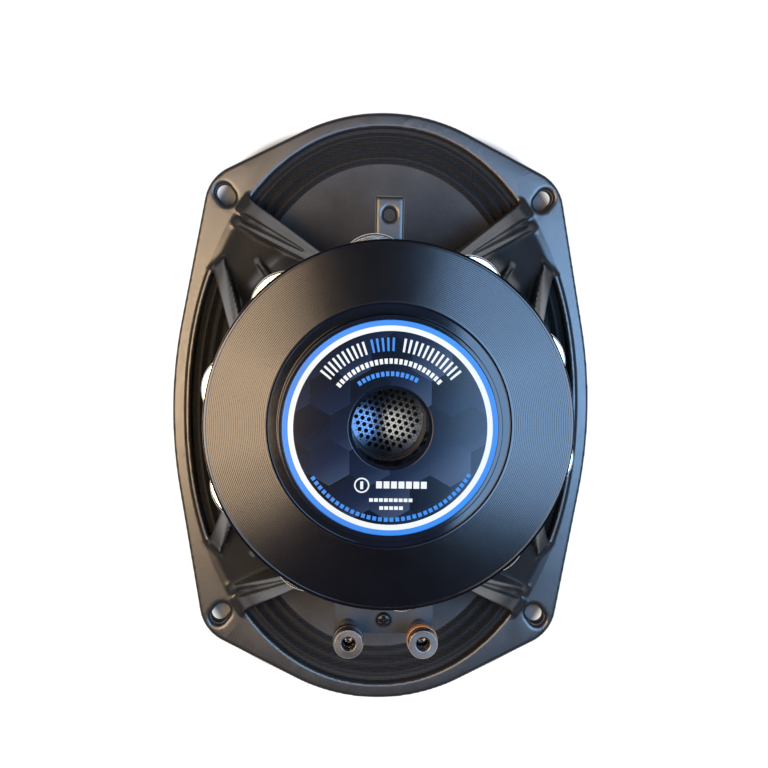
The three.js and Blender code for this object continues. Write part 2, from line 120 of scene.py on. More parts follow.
def rounded(profile, radius, steps=3, closed=True):
    """A profile with its corners rounded off, as more points."""
    pts = [np.array(p, float) for p in profile]
    count = len(pts)
    out = []
    for i, p in enumerate(pts):
        if not closed and i in (0, count - 1):
            out.append(p)
            continue
        before, after = pts[i - 1] - p, pts[(i + 1) % count] - p
        reach = min(radius, 0.45 * np.linalg.norm(before), 0.45 * np.linalg.norm(after))
        if reach < 1e-4:
            out.append(p)
            continue
        a = p + before / np.linalg.norm(before) * reach
        b = p + after / np.linalg.norm(after) * reach
        # a point a little before and after each corner keeps the flat stretches flat
        out.append(p + before / np.linalg.norm(before) * reach * 1.1)
        for k in range(steps + 1):
            t = k / steps
            out.append((1 - t) ** 2 * a + 2 * t * (1 - t) * p + t * t * b)
        out.append(p + after / np.linalg.norm(after) * reach * 1.1)
    return out


def swept(name, profile, radius_at=None, centre=(0, 0), segments=SEGMENTS, closed=True):
    """A profile of (u, z) taken round the axis.

    radius_at(angle, u) gives the radius, and without it u is the radius.
    """
    prof = np.array(profile, float)
    theta = np.arange(segments) / segments * 2 * math.pi
    if radius_at is None:
        radius = np.repeat(prof[:, :1], segments, 1)
    else:
        radius = np.array([radius_at(theta, u) for u in prof[:, 0]])
    x = radius * np.cos(theta) + centre[0]
    y = radius * np.sin(theta) + centre[1]
    z = np.repeat(prof[:, 1:2], segments, 1)
    points = np.stack([x, y, z], -1).reshape(-1, 3)
    faces = grid_faces(len(prof), segments, close_rows=closed)
    following = np.roll(prof, -1, 0)
    if (prof[:, 0] * following[:, 1] - following[:, 0] * prof[:, 1]).sum() < 0:
        faces = [f[::-1] for f in faces]
    return mesh_object(name, points, faces)


def oval_radius(theta, outside):
    """The cone's oval edge, grown by outside."""
    x = np.abs(np.cos(theta)) / (CONE_HALF[0] + outside)
    y = np.abs(np.sin(theta)) / (CONE_HALF[1] + outside)
    return (x**OVAL_POWER + y**OVAL_POWER) ** (-1 / OVAL_POWER)


def cone_radius(theta, u):
    """From the round neck at u = 0 to the oval edge at u = 1."""
    return NECK_RADIUS + (oval_radius(theta, 0) - NECK_RADIUS) * u


def tube_along(name, points, radius, sides=12, twist=0.0, lobes=0, lobe_depth=0.0):
    """A round tube along points, with optional twisted lobes for a braid."""
    pts = np.array(points, float)
    tangent = np.gradient(pts, axis=0)
    tangent /= np.linalg.norm(tangent, axis=1)[:, None]
    length = np.concatenate([[0], np.cumsum(np.linalg.norm(np.diff(pts, axis=0), axis=1))])
    normal = np.cross(tangent[0], (1.0, 0.3, 0.2))
    normal /= np.linalg.norm(normal)
    rings = []
    for i, p in enumerate(pts):
        normal = normal - tangent[i] * normal.dot(tangent[i])
        normal /= np.linalg.norm(normal)
        side = np.cross(tangent[i], normal)
        phi = np.arange(sides) / sides * 2 * math.pi
        r = radius * (1 + lobe_depth * np.cos(lobes * phi + twist * length[i]))
        rings.append(p + np.outer(r * np.cos(phi), normal) + np.outer(r * np.sin(phi), side))
    verts = np.concatenate(rings)
    faces = grid_faces(len(pts), sides)
    faces.append(tuple(range(sides))[::-1])
    faces.append(tuple(range(len(verts) - sides, len(verts))))
    return mesh_object(name, verts, faces, 60)


# ---- materials
class Nodes:
    """Short names for building a Principled material from nodes."""

    def __init__(self, name):
        self.material = bpy.data.materials.new(name)
        self.material.use_nodes = True
        self.tree = self.material.node_tree
        self.shader = self.tree.nodes["Principled BSDF"]
        self.coords = self.add("ShaderNodeTexCoord").outputs["Object"]

    def add(self, kind, **values):
        node = self.tree.nodes.new(kind)
        for key, value in values.items():
            if hasattr(node, key):
                setattr(node, key, value)
            else:
                node.inputs[key.replace("_", " ")].default_value = value
        return node

    def link(self, a, b):
        self.tree.links.new(a, b)

    def noise(self, scale, detail=4.0, rough=0.55, vector=None):
        node = self.add("ShaderNodeTexNoise", Scale=scale, Detail=detail, Roughness=rough)
        self.link(vector or self.coords, node.inputs["Vector"])
        return node.outputs["Fac"]

    def ramp(self, factor, stops):
        node = self.add("ShaderNodeValToRGB")
        elements = node.color_ramp.elements
        while len(elements) < len(stops):
            elements.new(0.5)
        for element, (position, colour) in zip(elements, stops):
            element.position = position
            element.color = (*colour, 1) if len(colour) == 3 else colour
        self.link(factor, node.inputs["Fac"])
        return node.outputs["Color"]

    def spread(self, factor, low, high):
        node = self.add("ShaderNodeMapRange")
        node.inputs["To Min"].default_value = low
        node.inputs["To Max"].default_value = high
        self.link(factor, node.inputs["Value"])
        return node.outputs["Result"]

    def math(self, operation, a, b=None):
        node = self.add("ShaderNodeMath", operation=operation)
        for socket, value in zip(node.inputs, (a, b)):
            if value is None:
                continue
            if isinstance(value, (int, float)):
                socket.default_value = value
            else:
                self.link(value, socket)
        return node.outputs[0]

    def vector(self, operation, a, b=None):
        node = self.add("ShaderNodeVectorMath", operation=operation)
        for socket, value in zip(node.inputs, (a, b)):
            if value is None:
                continue
            if isinstance(value, (tuple, list)):
                socket.default_value = value
            else:
                self.link(value, socket)
        return node.outputs["Value" if operation in ("LENGTH", "DISTANCE", "DOT_PRODUCT") else "Vector"]

    def bump(self, height, strength, distance_mm, after=None):
        node = self.add("ShaderNodeBump", Strength=strength, Distance=distance_mm * MM)
        self.link(height, node.inputs["Height"])
        if after is not None:
            self.link(after, node.inputs["Normal"])
        return node.outputs["Normal"]

    def finish(self, colour=None, roughness=None, normal=None, metallic=0.0, **constants):
        shader = self.shader
        for name, value in (("Base Color", colour), ("Roughness", roughness), ("Normal", normal)):
            if value is None:
                continue
            if isinstance(value, (int, float)):
                shader.inputs[name].default_value = value
            else:
                self.link(value, shader.inputs[name])
        shader.inputs["Metallic"].default_value = metallic
        for name, value in constants.items():
            shader.inputs[name.replace("_", " ")].default_value = value
        return self.material


def mixed(dark, light):
    """The two ends of a soft blend between two colours."""
    return [(0.3, dark), (0.7, light)]


def coated(name, dark, light, roughness, grain_mm=0.35, bump=0.12, metallic=0.0, **constants):
    """Paint, plastic or plating: soft mottling, a fine grain in the surface, uneven gloss."""
    n = Nodes(name)
    cloud = n.noise(45, 3)
    fine = n.noise(1000 / grain_mm, 2)
    colour = n.ramp(cloud, mixed(dark, light))
    gloss = n.spread(n.noise(160, 5), roughness[0], roughness[1])
    normal = n.bump(fine, bump, 0.08, n.bump(cloud, 0.05, 0.4))
    return n.finish(colour, gloss, normal, metallic, **constants)


def turned_metal(name, dark, light, roughness, lines_mm=0.12, metallic=1.0):
    """Metal turned on a lathe: fine rings about its own Z axis."""
    n = Nodes(name)
    split = n.add("ShaderNodeSeparateXYZ")
    n.link(n.coords, split.inputs[0])
    combined = n.add("ShaderNodeCombineXYZ")
    n.link(n.vector("LENGTH", n.vector("MULTIPLY", n.coords, (1, 1, 0))), combined.inputs[0])
    n.link(split.outputs["Z"], combined.inputs[1])
    rings = n.noise(1000 / lines_mm, 2, vector=combined.outputs[0])
    colour = n.ramp(n.noise(90, 4), mixed(dark, light))
    gloss = n.spread(rings, roughness[0], roughness[1])
    return n.finish(colour, gloss, n.bump(rings, 0.2, 0.03), metallic)


def woven(name, dark, light, pitch_mm, roughness=0.8, bump=0.6, sheen=0.3):
    """Cloth with crossing threads in plan, treated with resin or left soft."""
    n = Nodes(name)
    heights = []
    for direction in ("X", "Y"):
        wave = n.add("ShaderNodeTexWave", wave_type="BANDS", bands_direction=direction)
        wave.inputs["Scale"].default_value = 1000 / pitch_mm / 20 * math.pi
        wave.inputs["Distortion"].default_value = 0.6
        wave.inputs["Detail"].default_value = 1.0
        n.link(n.coords, wave.inputs["Vector"])
        heights.append(wave.outputs["Fac"])
    weave = n.math("MULTIPLY", heights[0], heights[1])
    lint = n.noise(700, 4)
    shade = n.math("MULTIPLY", n.math("ADD", weave, 0.5), lint)
    colour = n.ramp(shade, [(0.15, dark), (0.75, light)])
    normal = n.bump(weave, bump, 0.12, n.bump(lint, 0.25, 0.2))
    return n.finish(colour, n.spread(lint, roughness - 0.12, roughness + 0.1), normal,
                    Sheen_Weight=sheen, Sheen_Roughness=0.5, Specular_IOR_Level=0.3)


def pulp(name, dark, light):
    """Pressed paper: felted fibres, mottled and slightly uneven."""
    n = Nodes(name)
    fibres = n.add("ShaderNodeTexVoronoi", feature="DISTANCE_TO_EDGE", Scale=900.0)
    stretched = n.add("ShaderNodeMapping")
    stretched.inputs["Scale"].default_value = (1.0, 0.45, 1.0)
    n.link(n.coords, stretched.inputs["Vector"])
    warp = n.add("ShaderNodeTexNoise", Scale=260.0, Detail=3.0)
    n.link(n.coords, warp.inputs["Vector"])
    wander = n.vector("MULTIPLY", warp.outputs["Color"], (0.004, 0.004, 0.004))
    shifted = n.vector("ADD", stretched.outputs[0], wander)
    n.link(shifted, fibres.inputs["Vector"])
    felt = n.noise(1500, 6, 0.7)
    cloud = n.noise(60, 4)
    tone = n.math("ADD", n.math("MULTIPLY", felt, 0.5), n.math("MULTIPLY", cloud, 0.5))
    colour = n.ramp(tone, mixed(dark, light))
    normal = n.bump(felt, 0.45, 0.15, n.bump(fibres.outputs["Distance"], 0.3, 0.3))
    return n.finish(colour, n.spread(felt, 0.62, 0.85), normal)


cast_paint = coated("satin_powder_coat", (0.017, 0.017, 0.018), (0.023, 0.023, 0.024), (0.27, 0.34),
                    grain_mm=0.5, bump=0.1, Specular_IOR_Level=1.0)
disc_coat = coated("black_turned_coat", (0.0015, 0.0016, 0.003), (0.003, 0.0032, 0.006), (0.12, 0.17),
                   grain_mm=0.3, bump=0.02, Specular_IOR_Level=0.7)
smooth_coat = coated("black_smooth_coat", (0.004, 0.006, 0.012), (0.006, 0.009, 0.018), (0.06, 0.09),
                     grain_mm=0.4, bump=0.02, Specular_IOR_Level=0.5)
nickel = coated("nickel_plate", (0.72, 0.70, 0.66), (0.82, 0.80, 0.77), (0.1, 0.22),
                grain_mm=0.25, bump=0.05, metallic=1.0)
zinc = turned_metal("zinc_plate", (0.42, 0.43, 0.45), (0.58, 0.59, 0.60), (0.28, 0.45))
brushed_cap = turned_metal("brushed_cap", (0.13, 0.12, 0.11), (0.34, 0.32, 0.30), (0.2, 0.42), 0.25)
chrome = turned_metal("chrome_plate", (0.68, 0.68, 0.69), (0.80, 0.80, 0.81), (0.05, 0.16), 0.2)
bore_metal = turned_metal("vent_bore", (0.15, 0.15, 0.15), (0.26, 0.26, 0.26), (0.2, 0.32), 0.2, 0.15)
screen_metal = turned_metal("screen_sheet", (0.05, 0.07, 0.105), (0.10, 0.14, 0.20), (0.18, 0.3), 0.3)
foam = coated("gasket_foam", (0.010, 0.010, 0.011), (0.022, 0.022, 0.023), (0.85, 0.95),
              grain_mm=0.8, bump=0.8)
surround_cloth = woven("surround_cloth", (0.012, 0.012, 0.013), (0.034, 0.035, 0.038), 0.5, 0.72, 0.5, 0.05)
spider_cloth = woven("spider_cloth", (0.32, 0.20, 0.075), (0.56, 0.38, 0.16), 0.8, 0.75, 0.8)
cap_cloth = woven("dust_cap_cloth", (0.012, 0.012, 0.014), (0.035, 0.035, 0.039), 0.5, 0.5, 0.4)
paper = pulp("pressed_paper", (0.030, 0.031, 0.033), (0.075, 0.077, 0.082))
screw_black = coated("black_screw", (0.02, 0.02, 0.022), (0.05, 0.05, 0.055), (0.25, 0.4), metallic=0.8)
phenolic = coated("phenolic_board", (0.022, 0.026, 0.032), (0.045, 0.052, 0.062), (0.3, 0.45), grain_mm=0.6)
black_plastic = coated("black_moulding", (0.008, 0.008, 0.009), (0.016, 0.016, 0.018), (0.18, 0.32),
                       grain_mm=0.5, bump=0.05)
amber_plastic = coated("amber_moulding", (0.34, 0.13, 0.035), (0.46, 0.19, 0.06), (0.25, 0.4), grain_mm=0.5)
copper = turned_metal("enamelled_winding", (0.45, 0.16, 0.06), (0.62, 0.26, 0.10), (0.2, 0.4), 0.3)
kapton = coated("former_film", (0.05, 0.022, 0.008), (0.09, 0.04, 0.015), (0.2, 0.35), grain_mm=0.6)
braid = coated("braided_tinsel", (0.30, 0.28, 0.25), (0.52, 0.49, 0.44), (0.35, 0.55),
               grain_mm=0.2, bump=0.5, metallic=0.5)


# ---- basket as a signed distance field
def outline_points(steps=18):
    """The flange's outline: side arcs and end arcs, joined by a round ear at each corner."""
    side_c, end_c = HALF_WIDTH - SIDE_RADIUS, HALF_LENGTH - END_RADIUS
    a, b = SIDE_ANGLE, END_ANGLE
    side_line = math.cos(a) * side_c + SIDE_RADIUS - EAR_RADIUS
    end_line = math.cos(b) * end_c + END_RADIUS - EAR_RADIUS
    turn = math.cos(a) * math.cos(b) - math.sin(a) * math.sin(b)
    ear = (
        (side_line * math.cos(b) - end_line * math.sin(a)) / turn,
        (end_line * math.cos(a) - side_line * math.sin(b)) / turn,
    )
    arcs = [
        ((side_c, 0), SIDE_RADIUS, 0, a),
        (ear, EAR_RADIUS, a, math.pi / 2 - b),
        ((0, end_c), END_RADIUS, math.pi / 2 - b, math.pi / 2),
    ]
    quarter = []
    for (cx, cy), radius, start, end in arcs:
        for k in range(steps + 1):
            t = start + (end - start) * k / steps
            quarter.append((cx + radius * math.cos(t), cy + radius * math.sin(t)))
    quarter = np.array(quarter)
    upper = np.concatenate([quarter, (quarter * (-1, 1))[::-1][1:]])
    return np.concatenate([upper, (upper * (1, -1))[::-1][1:-1]])


def opening_points(steps=240):
    """The edge of the oval opening in the flange."""
    angles = np.linspace(0, 2 * math.pi, steps, endpoint=False)
    radius = oval_radius(angles, OPENING_AT)
    return np.stack([radius * np.cos(angles), radius * np.sin(angles)], 1)


def polygon_distance(x, y, points):
    """Signed distance to a closed polygon in plan, negative inside."""
    nearest = np.full(x.shape, 1e9)
    inside = np.zeros(x.shape, bool)
    pts = np.asarray(points, float)
    for (ax, ay), (bx, by) in zip(pts, np.roll(pts, -1, 0)):
        ex, ey = bx - ax, by - ay
        length = ex * ex + ey * ey
        if length < 1e-12:
            continue
        t = np.clip(((x - ax) * ex + (y - ay) * ey) / length, 0, 1)
        nearest = np.minimum(nearest, (x - ax - t * ex) ** 2 + (y - ay - t * ey) ** 2)
        crosses = (ay > y) != (by > y)
        if ey:
            inside ^= crosses & (x < ax + (y - ay) * ex / ey)
    distance = np.sqrt(nearest)
    return np.where(inside, -distance, distance)


def join(a, b, fillet):
    """Both shapes, with a fillet where they meet."""
    h = np.clip(0.5 + 0.5 * (b - a) / fillet, 0, 1)
    return b + (a - b) * h - fillet * h * (1 - h)


def keep(a, b, fillet):
    """What the two shapes share, with its edge rounded."""
    return -join(-a, -b, fillet)


def lift(field):
    """A field in plan, ready to be combined with heights."""
    return field[:, :, None]


def layer(z, middle, half):
    """A flat layer, by its middle height and half its thickness."""
    return np.abs(z - middle) - half


# windows between the arms, and ribs on one arm, in plan over one quarter
END_WINDOW = [(-60, 53), (18, 53), (19.4, 56.5), (53.4, 82), (53.4, 140), (-60, 140)]
SIDE_WINDOW = [(51, -60), (51, 22), (55.5, 23.9), (67.4, 53), (120, 53), (120, -60)]
RIBS = [
    # outline, and how far its top lies under the rib line
    ([(54.2, 82.8), (19.4, 56.7), (20.8, 55.0), (58.2, 77.4)], 0.0),
    ([(55.0, 80.0), (20.4, 56.0), (23.2, 53.6), (58.6, 71.6)], 4.5),
    ([(58.4, 73.6), (22.8, 55.6), (23.6, 54.0), (59.4, 71.8)], 0.4),
    ([(69.0, 53.2), (55.4, 23.8), (53.6, 24.6), (62.8, 58.4)], 0.0),
    ([(62.0, 52.5), (52.8, 27.6), (51.8, 28.2), (60.8, 53.4)], 3.0),
]
# heights along an arm, from 0 at the seat's edge to 1 at the edge of the opening
RIB_TOP = ([-0.1, 0.0, 0.28, 0.58, 0.8, 0.94, 1.08], [58.0, 57.0, 42.5, 29.0, 19.0, 13.2, 10.0])
SHELL_TOP = ([0.0, 0.08, 0.2, 0.36, 0.55, 0.8, 1.0, 1.2], [50.0, 38.0, 26.0, 20.0, 17.0, 13.5, 10.0, 9.6])
# the underside stays clear of the cone at the end of the cone's travel
SHELL_UNDER = ([-0.03, 0.05, 0.16, 0.3, 0.6, 0.85, 0.96, 1.04],
               [23.2, 20.6, 18.6, 16.7, 13.6, 10.3, 8.0, 5.2])
RIB_FOOT = 1.6  # the ribs and the fin start this far above the underside
BEAD_AT, BEAD_HALF, BEAD_MIDDLE, BEAD_REACH = 1.0, 0.9, 9.4, 1.5
SHELL_INNER, SHELL_LAP = 60.6, 1.5
WALL_RADIUS, WALL_HALF, WALL_MIDDLE, WALL_REACH = 62.0, 1.5, 40.6, 16.4
# the fin in the middle of an arm, by distances along its diagonal
FIN_ALONG, FIN_ACROSS = 0.656, 0.755
FIN_START, FIN_END, FIN_HALF = 60.5, 76, 0.8
FIN_TOP = ([60, 63, 71, 77], [53, 50, 26, 17])
SEAT_INNER, SEAT_MIDDLE, SEAT_HALF = 32, 55, 3
LANDING_RADIUS, LANDING_HALF, LANDING_MIDDLE, LANDING_REACH = 58.8, 2.8, 51, 7
TAB_HALF, TAB_START, TAB_END, TAB_THICK = 5.4, 57, 81.0, 4
TAB_CHAMFER_SIDE, TAB_CHAMFER_END = 4.6, 80.2
TAB_HOLE_AT, TAB_HOLE_RADIUS = 74.2, 2.1
TERMINAL_TAB_END = 77.4
EAR_X, EAR_Y, EAR_AT = 62.9, 83.1, 104.22
SLOT_HALF, SLOT_RADIUS = 1.3, 3.2
MOTOR_SCREW_AT, MOTOR_SCREW_HOLE = 29.7, 2.6
FIELD_LIMITS = (85, 119, 58)
FIELD_FLOOR = 3.0


def soft_interp(u, table):
    """A table read with its corners smoothed."""
    return sum(np.interp(u + shift, *table) for shift in (-0.08, -0.04, 0.0, 0.04, 0.08)) / 5


def flange_field(x, y, z, hole, side_window):
    """The flat flange, with a raised bead along the opening beside each side window."""
    outside = polygon_distance(x, y, outline_points())
    middle, half = (FLANGE[0] + FLANGE[1]) / 2, (FLANGE[1] - FLANGE[0]) / 2
    flange = keep(lift(np.maximum(outside, -hole)), layer(z, middle, half), 0.9)
    bead = np.maximum(np.abs(hole - BEAD_AT) - BEAD_HALF, side_window)
    return join(flange, keep(lift(bead), layer(z, BEAD_MIDDLE, BEAD_REACH), 1.0), 0.8)


def arm_field(x, y, z, hole, windows):
    """The four arms: a shell that runs in from the flange and turns up into the seat wall, with ribs."""
    radius = np.hypot(x, y)
    rim = oval_radius(np.arctan2(y, x), OPENING_AT)
    u = (radius - SEAT_OUTER) / (rim - SEAT_OUTER)
    top = soft_interp(u, SHELL_TOP)
    under = np.interp(u, *SHELL_UNDER)
    # the slope of the shell makes its heights longer than its distances
    shell = np.maximum(z - lift(top), lift(under) - z) * 0.8
    shell = np.maximum(shell, lift(np.maximum(SHELL_INNER - radius, hole - SHELL_LAP)))
    wall = np.maximum(lift(np.abs(radius - WALL_RADIUS) - WALL_HALF), layer(z, WALL_MIDDLE, WALL_REACH))
    arms = join(shell, wall, 3.0)
    line = soft_interp(u, RIB_TOP)
    for outline, drop in RIBS:
        plan = polygon_distance(x, y, outline)
        rib = keep(lift(plan), keep(z - lift(line - drop), lift(under + RIB_FOOT) - z, 0.6), 1.4)
        arms = join(arms, rib, 2.2)
    along = x * FIN_ALONG + y * FIN_ACROSS
    across = np.abs(x * FIN_ACROSS - y * FIN_ALONG)
    fin_plan = np.maximum(across - FIN_HALF, np.maximum(FIN_START - along, along - FIN_END))
    fin_heights = np.maximum(z - lift(np.interp(along, *FIN_TOP)), lift(under + RIB_FOOT) - z)
    arms = join(arms, np.maximum(lift(fin_plan), fin_heights), 1.8)
    return keep(arms, -lift(windows), 1.4)


def seat_field(x, y, z):
    """The ring that carries the motor, and the landing for the spider under its edge."""
    radius = np.hypot(x, y)
    ring = lift(np.maximum(radius - SEAT_OUTER, SEAT_INNER - radius))
    seat = keep(ring, layer(z, SEAT_MIDDLE, SEAT_HALF), 1.2)
    landing = lift(np.abs(radius - LANDING_RADIUS) - LANDING_HALF)
    return join(seat, keep(landing, layer(z, LANDING_MIDDLE, LANDING_REACH), 1.0), 1.5)


def tab_field(x, y, z):
    """The tab that stands out from the seat, with its outer edges bevelled."""
    plan = np.maximum(x - TAB_HALF, np.maximum(y - TAB_END, TAB_START - y))
    chamfer = (lift(x) + (z - TAB_BACK) - TAB_CHAMFER_SIDE) * 0.707
    end_chamfer = (lift(y) + (z - TAB_BACK) - TAB_CHAMFER_END) * 0.707
    block = keep(lift(plan), np.abs(z - TAB_BACK + TAB_THICK / 2) - TAB_THICK / 2, 0.5)
    return keep(block, np.maximum(chamfer, end_chamfer), 0.3)


def with_holes(body, x, y, z):
    """Cuts the screw slots in the ears, the tab's hole, and the four motor screw holes."""
    ear = (x * EAR_X + y * EAR_Y) / EAR_AT
    off_axis = (x * EAR_Y - y * EAR_X) / EAR_AT
    slot = np.hypot(np.maximum(np.abs(ear - EAR_AT) - SLOT_HALF, 0), off_axis) - SLOT_RADIUS
    body = keep(body, -lift(slot), 1.6)
    tab_hole = lift(np.hypot(x, y - TAB_HOLE_AT))
    body = keep(body, -(tab_hole - TAB_HOLE_RADIUS - np.maximum(z - (TAB_BACK - 1), 0)), 0.3)
    screws = lift(np.hypot(x - MOTOR_SCREW_AT, y - MOTOR_SCREW_AT) - MOTOR_SCREW_HOLE)
    return keep(body, -screws, 0.4)


def basket_field(h):
    """Signed distances to one quarter of the basket, on a grid with step h."""
    xs = (np.arange(int(FIELD_LIMITS[0] / h)) + 0.5) * h
    ys = (np.arange(int(FIELD_LIMITS[1] / h)) + 0.5) * h
    zs = FIELD_FLOOR + np.arange(int(FIELD_LIMITS[2] / h)) * h
    x, y = np.meshgrid(xs, ys, indexing="ij")
    z = zs[None, None, :]
    hole = polygon_distance(x, y, opening_points())
    side_window = polygon_distance(x, y, SIDE_WINDOW)
    windows = np.minimum(polygon_distance(x, y, END_WINDOW), side_window)
    flange = flange_field(x, y, z, hole, side_window)
    body = join(join(flange, arm_field(x, y, z, hole, windows), 0.9), seat_field(x, y, z), 2.0)
    return with_holes(join(body, tab_field(x, y, z), 1.5), x, y, z)


def make_basket(h):
    """The four quarters together, turned into a mesh."""
    quarter = basket_field(h)
    half = np.concatenate([quarter[::-1], quarter], 0)
    whole = np.concatenate([half[:, ::-1], half], 1)
    # the terminal tab ends under its board, shorter than the spare one
    middle_x, middle_y = whole.shape[0] / 2, (whole.shape[1] - 1) / 2
    y = (np.arange(whole.shape[1]) - middle_y) * h
    reach = TAB_HALF + 2.6
    tab = (slice(int(middle_x - reach / h), int(middle_x + reach / h)), slice(None),
           slice(int((TAB_BACK - 7 - FIELD_FLOOR) / h), None))
    whole[tab] = np.maximum(whole[tab], np.where(y < -60, -TERMINAL_TAB_END - y, -99.0)[None, :, None])
    grid = openvdb.FloatGrid(3.0)
    grid.copyFromArray(np.clip(whole, -3, 3).astype(np.float32))
    points, triangles, quads = grid.convertToPolygons(isovalue=0.0, adaptivity=0.0)
    origin = np.array([-(whole.shape[0] - 1) / 2 * h, -middle_y * h, FIELD_FLOOR])
    points = points * h + origin
    faces = [tuple(f) for f in quads.tolist()] + [tuple(f) for f in triangles.tolist()]
    obj = mesh_object("basket_casting", points, faces, None)
    if signed_volume(obj.data) < 0:
        obj.data.flip_normals()
    return obj


def signed_volume(mesh):
    """Six times the volume that the faces enclose, negative when they face in."""
    mesh.calc_loop_triangles()
    co = np.empty(len(mesh.vertices) * 3)
    mesh.vertices.foreach_get("co", co)
    tri = np.empty(len(mesh.loop_triangles) * 3, np.int32)
    mesh.loop_triangles.foreach_get("vertices", tri)
    p = co.reshape(-1, 3)[tri.reshape(-1, 3)]
    return np.einsum("ij,ij->i", p[:, 0], np.cross(p[:, 1], p[:, 2])).sum()


def thinned(obj, ratio):
    """The same mesh with fewer faces where it is flat."""
    modifier = obj.modifiers.new("thin", "DECIMATE")
    modifier.ratio = ratio
    made = bpy.data.meshes.new_from_object(obj.evaluated_get(bpy.context.evaluated_depsgraph_get()))
    obj.modifiers.clear()
    obj.data = made
    made.polygons.foreach_set("use_smooth", [True] * len(made.polygons))
    return obj


basket = thinned(make_basket(0.7), 0.55)
place(basket, "frame", "cast_paint", cast_paint, "basket")

# ---- motor
def groove_profile():
    """Back face of the disc, with fine turned grooves from its edge to the smooth band."""
    pitch, depth = 0.63, 0.07
    # one groove: a flat land, a face that curves down outwards, and a short wall back up
    groove = [(0.0, 0.0), (0.6, 0.0), (0.68, 0.1), (0.78, 0.4), (0.92, 1.0)]
    count = int((DISC_RADIUS - 1.6 - GROOVES_START) / pitch)
    return [
        (GROOVES_START + 0.4 + (k + along) * pitch, DISC[1] - depth * fall)
        for k in range(count) for along, fall in groove
    ]


back = rounded([
    (VENT_RADIUS, DISC[0]), (DISC_RADIUS, DISC[0]), (DISC_RADIUS, DISC[1] - 0.1)], 0.5, closed=False)
back[-1:] = [(DISC_RADIUS, DISC[1] - 0.9), (DISC_RADIUS - 0.12, DISC[1] - 0.36),
             (DISC_RADIUS - 0.5, DISC[1] - 0.12), (DISC_RADIUS - 1.2, DISC[1])]
back += groove_profile()[::-1]
back += rounded([
    (GROOVES_START, DISC[1]), (GROOVES_START - 0.5, DISC[1] - 0.5), (BOSS_RADIUS + 0.3, DISC[1] - 0.5),
    (BOSS_RADIUS, DISC[1]), (BOSS_RADIUS, BOSS_TOP), (LABEL[1] + 0.1, BOSS_TOP),
    (LABEL[1] + 0.1, BOSS_TOP - 0.4), (LABEL[0] - 0.1, BOSS_TOP - 0.4), (LABEL[0] - 0.1, BOSS_TOP - 0.3),
    (VENT_RADIUS, BOSS_TOP - 1.2), (VENT_RADIUS, DISC[0])], 0.35, closed=False)[:-1]
disc = swept("motor_back_disc", back, segments=288)
disc.data.materials.append(disc_coat)
disc.data.materials.append(smooth_coat)
for polygon in disc.data.polygons:
    c = polygon.center
    if math.hypot(c.x, c.y) < GROOVES_START * MM:
        polygon.material_index = 1
place(disc, "frame", "coated_steel", disc_coat, "back_plate")

pole = swept("pole_vent", rounded([
    (SCREEN_RADIUS + 0.1, POLE_FRONT), (POLE_RADIUS, POLE_FRONT), (POLE_RADIUS, DISC[0]),
    (VENT_RADIUS, DISC[0]), (VENT_RADIUS, SCREEN_BACK), (SCREEN_RADIUS + 0.1, SCREEN_BACK)], 0.4))
place(pole, "frame", "coated_steel", bore_metal, "pole_piece")

plate = swept("front_pole_ring", rounded([
    (GAP_OUTER, PLATE[0]), (DISC_RADIUS, PLATE[0]), (DISC_RADIUS, PLATE[1]), (GAP_OUTER, PLATE[1])], 0.6))
place(plate, "frame", "zinc_steel", smooth_coat, "top_plate")

for i in range(SLUG_COUNT):
    spin = math.radians(SLUG_START + 360 / SLUG_COUNT * i)
    middle = (SLUG_RING * math.cos(spin), SLUG_RING * math.sin(spin))
    slug = swept(f"slug_{i + 1:02d}", rounded(
        [(0, PLATE[1]), (SLUG_RADIUS, PLATE[1]), (SLUG_RADIUS, DISC[0]), (0, DISC[0])], 0.7, closed=False),
        centre=middle, segments=64, closed=False)
    place(slug, "frame", "nickel", nickel, f"magnet_slug_{i + 1:02d}")


def hex_holes(name, radius, pitch, hole, back_z, thick, dish, lowest_x):
    """A perforated sheet pressed into a dish: hexagonal cells, each with a hole except at the edge."""
    verts, faces, sides = [], [], 12
    cell = pitch / math.sqrt(3)
    step = pitch * math.sqrt(0.75)
    swing = math.radians(-14)

    def in_dish(x, y):
        """The point turned by swing, at the height that the dish has there."""
        px = x * math.cos(swing) - y * math.sin(swing)
        py = x * math.sin(swing) + y * math.cos(swing)
        return px, py, back_z + dish * ((px - lowest_x) ** 2 + py * py) / radius**2

    span = int(radius / pitch) + 2
    for row in range(-span, span + 1):
        for column in range(-span, span + 1):
            cx, cy = (column + 0.5 * (row % 2)) * pitch, row * step
            if math.hypot(cx, cy) > radius + pitch * 0.3:
                continue
            solid = math.hypot(cx, cy) > radius - pitch * 0.75
            base = len(verts)
            for ring in range(4):
                for k in range(sides):
                    phi = 2 * math.pi * k / sides + math.pi / 2
                    turned = (phi - math.pi / 2 + math.pi / 6) % (math.pi / 3) - math.pi / 6
                    reach = cell * math.cos(math.pi / 6) / math.cos(turned)
                    r = reach if ring in (0, 3) else hole
                    px, py = cx + r * math.cos(phi), cy + r * math.sin(phi)
                    length = math.hypot(px, py)
                    if length > radius:
                        px, py = px * radius / length, py * radius / length
                    vx, vy, vz = in_dish(px, py)
                    verts.append((vx, vy, vz - (thick if ring >= 2 else 0)))
            for k in range(sides):
                k2 = (k + 1) % sides
                for ring in range(3):
                    if solid and ring == 1:
                        continue
                    a, b = base + ring * sides, base + (ring + 1) * sides
                    faces.append((a + k, a + k2, b + k2, b + k))
            if solid:
                faces.append(tuple(base + sides + k for k in range(sides)))
                faces.append(tuple(base + 2 * sides + k for k in range(sides))[::-1])
    return mesh_object(name, verts, faces, 30)


